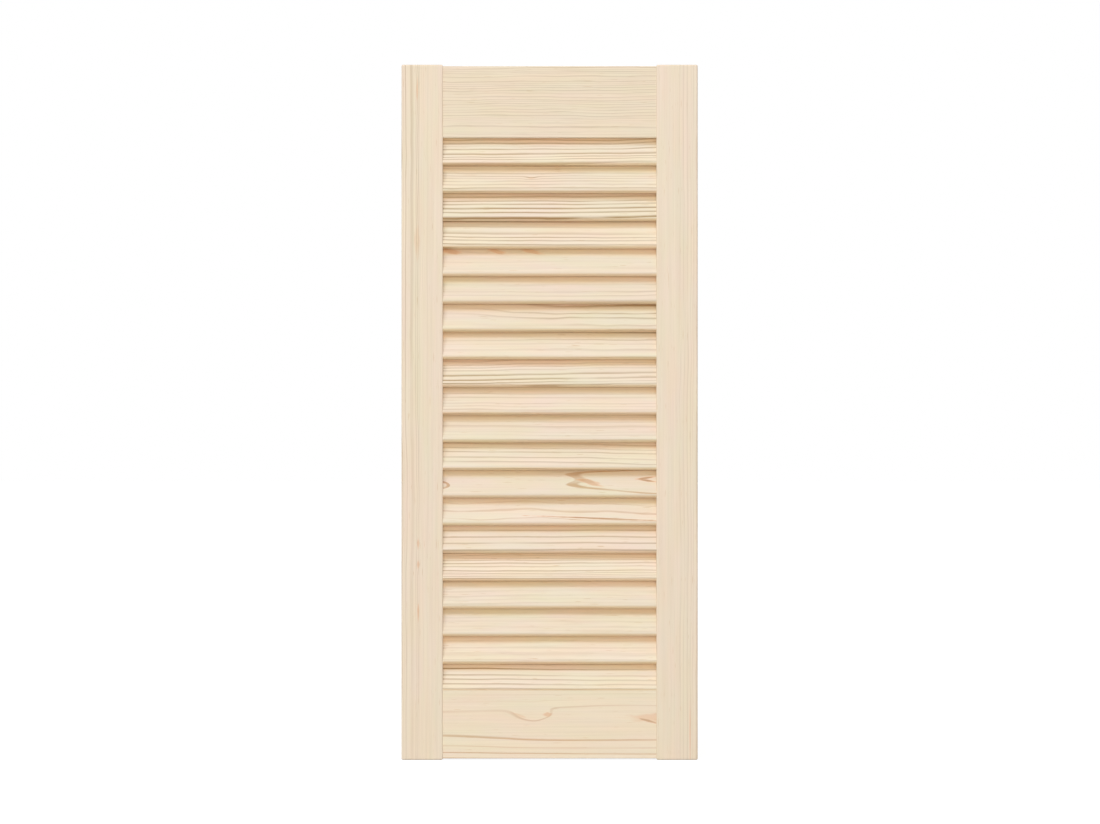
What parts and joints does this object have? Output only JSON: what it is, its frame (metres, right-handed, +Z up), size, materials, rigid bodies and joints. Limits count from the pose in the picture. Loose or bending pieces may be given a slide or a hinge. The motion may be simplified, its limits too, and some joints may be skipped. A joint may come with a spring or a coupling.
{
  "type": "louvred cupboard door",
  "caption": "Narrow pine door leaf with a stile-and-rail frame around fixed, lapping louvre slats, for a cupboard or wardrobe.",
  "frame": {"origin": "on the outer edge face of the left stile, the hinge edge, halfway up the leaf and halfway through its thickness", "axes": "+X across the leaf from the hinge edge to the latch edge, +Y from the front to the back, +Z up along the stiles"},
  "size_m": [0.294, 0.021, 0.69],
  "materials": {
    "stile_pine": "planed and sanded bare pine, straight grain along the height",
    "rail_pine": "planed and sanded bare pine, grain across the leaf",
    "slat_pine": "planed and sanded bare pine, grain along each slat"
  },
  "bodies": {
    "root": {"left_stile": "stile_pine", "right_stile": "stile_pine", "top_rail": "rail_pine", "bottom_rail": "rail_pine", "slat_01": "slat_pine", "slat_02": "slat_pine", "slat_03": "slat_pine", "slat_04": "slat_pine", "slat_05": "slat_pine", "slat_06": "slat_pine", "slat_07": "slat_pine", "slat_08": "slat_pine", "slat_09": "slat_pine", "slat_10": "slat_pine", "slat_11": "slat_pine", "slat_12": "slat_pine", "slat_13": "slat_pine", "slat_14": "slat_pine", "slat_15": "slat_pine", "slat_16": "slat_pine", "slat_17": "slat_pine", "slat_18": "slat_pine", "slat_19": "slat_pine", "slat_20": "slat_pine"}
  },
  "joints": []
}
